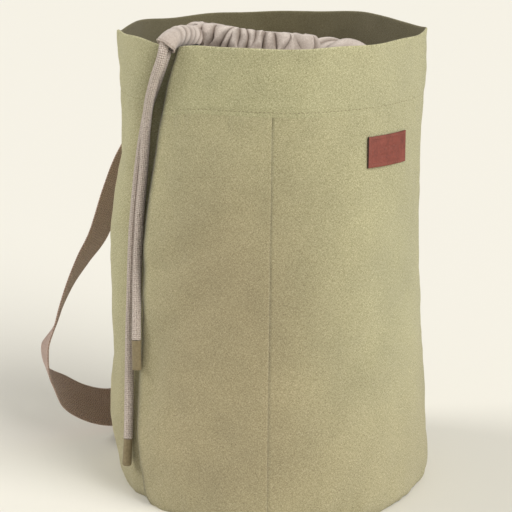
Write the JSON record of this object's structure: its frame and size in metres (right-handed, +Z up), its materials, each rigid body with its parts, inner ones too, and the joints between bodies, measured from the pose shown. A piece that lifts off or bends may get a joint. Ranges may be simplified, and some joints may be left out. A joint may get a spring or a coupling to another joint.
{
  "type": "fruit picking bag",
  "caption": "Round canvas picking bag that stands open, with a gathered drawstring collar inside its mouth, a long drawcord, a webbing strap and a leather label.",
  "frame": {"origin": "middle of the base, on the face that stands on the floor", "axes": "+Z up through the mouth, -Y towards the front seam, +X to the right seen from the front"},
  "size_m": [0.367, 0.3055, 0.4304],
  "materials": {
    "canvas": "washed cotton canvas",
    "lining": "plain cotton",
    "cord": "twisted cotton",
    "cord_tip": "whipped waxed thread",
    "webbing": "ribbed cotton webbing",
    "leather": "tooled leather",
    "board": "pressed board"
  },
  "bodies": {
    "bag": {"front_left_panel": "canvas", "front_right_panel": "canvas", "back_right_panel": "canvas", "back_left_panel": "canvas", "top_band": "canvas", "base_panel": "canvas", "base_board": "board", "lining_wall": "lining", "lining_base": "lining", "leather_label": "leather", "strap_top_end": "webbing", "strap_bottom_end": "webbing", "collar_skirt": "lining"},
    "collar": {"collar_channel": "lining", "channel_end": "lining", "drawcord": "cord"},
    "cord_a": {"cord_a": "cord", "cord_a_tip": "cord_tip"},
    "cord_b": {"cord_b": "cord", "cord_b_tip": "cord_tip"},
    "strap": {"strap": "webbing"}
  },
  "joints": [
    {"name": "collar_lift", "type": "slide", "parent": "bag", "child": "collar", "axis": [0, 0, 1], "range_m": [0, 0.05], "deforming": ["collar_skirt"]},
    {"name": "cord_a_swing", "type": "hinge", "parent": "collar", "child": "cord_a", "pos_m": [-0.0903, -0.0912, 0.4137], "axis": [-0.6402, 0.7682, 0], "range_deg": [0, 25]},
    {"name": "cord_b_swing", "type": "hinge", "parent": "collar", "child": "cord_b", "pos_m": [-0.0888, -0.086, 0.4054], "axis": [0, 1, 0], "range_deg": [0, 25]},
    {"name": "strap_swing", "type": "hinge", "parent": "bag", "child": "strap", "pos_m": [0, 0.153, 0.021], "axis": [0, -0.0726, 0.9974], "range_deg": [-130, 0]}
  ]
}
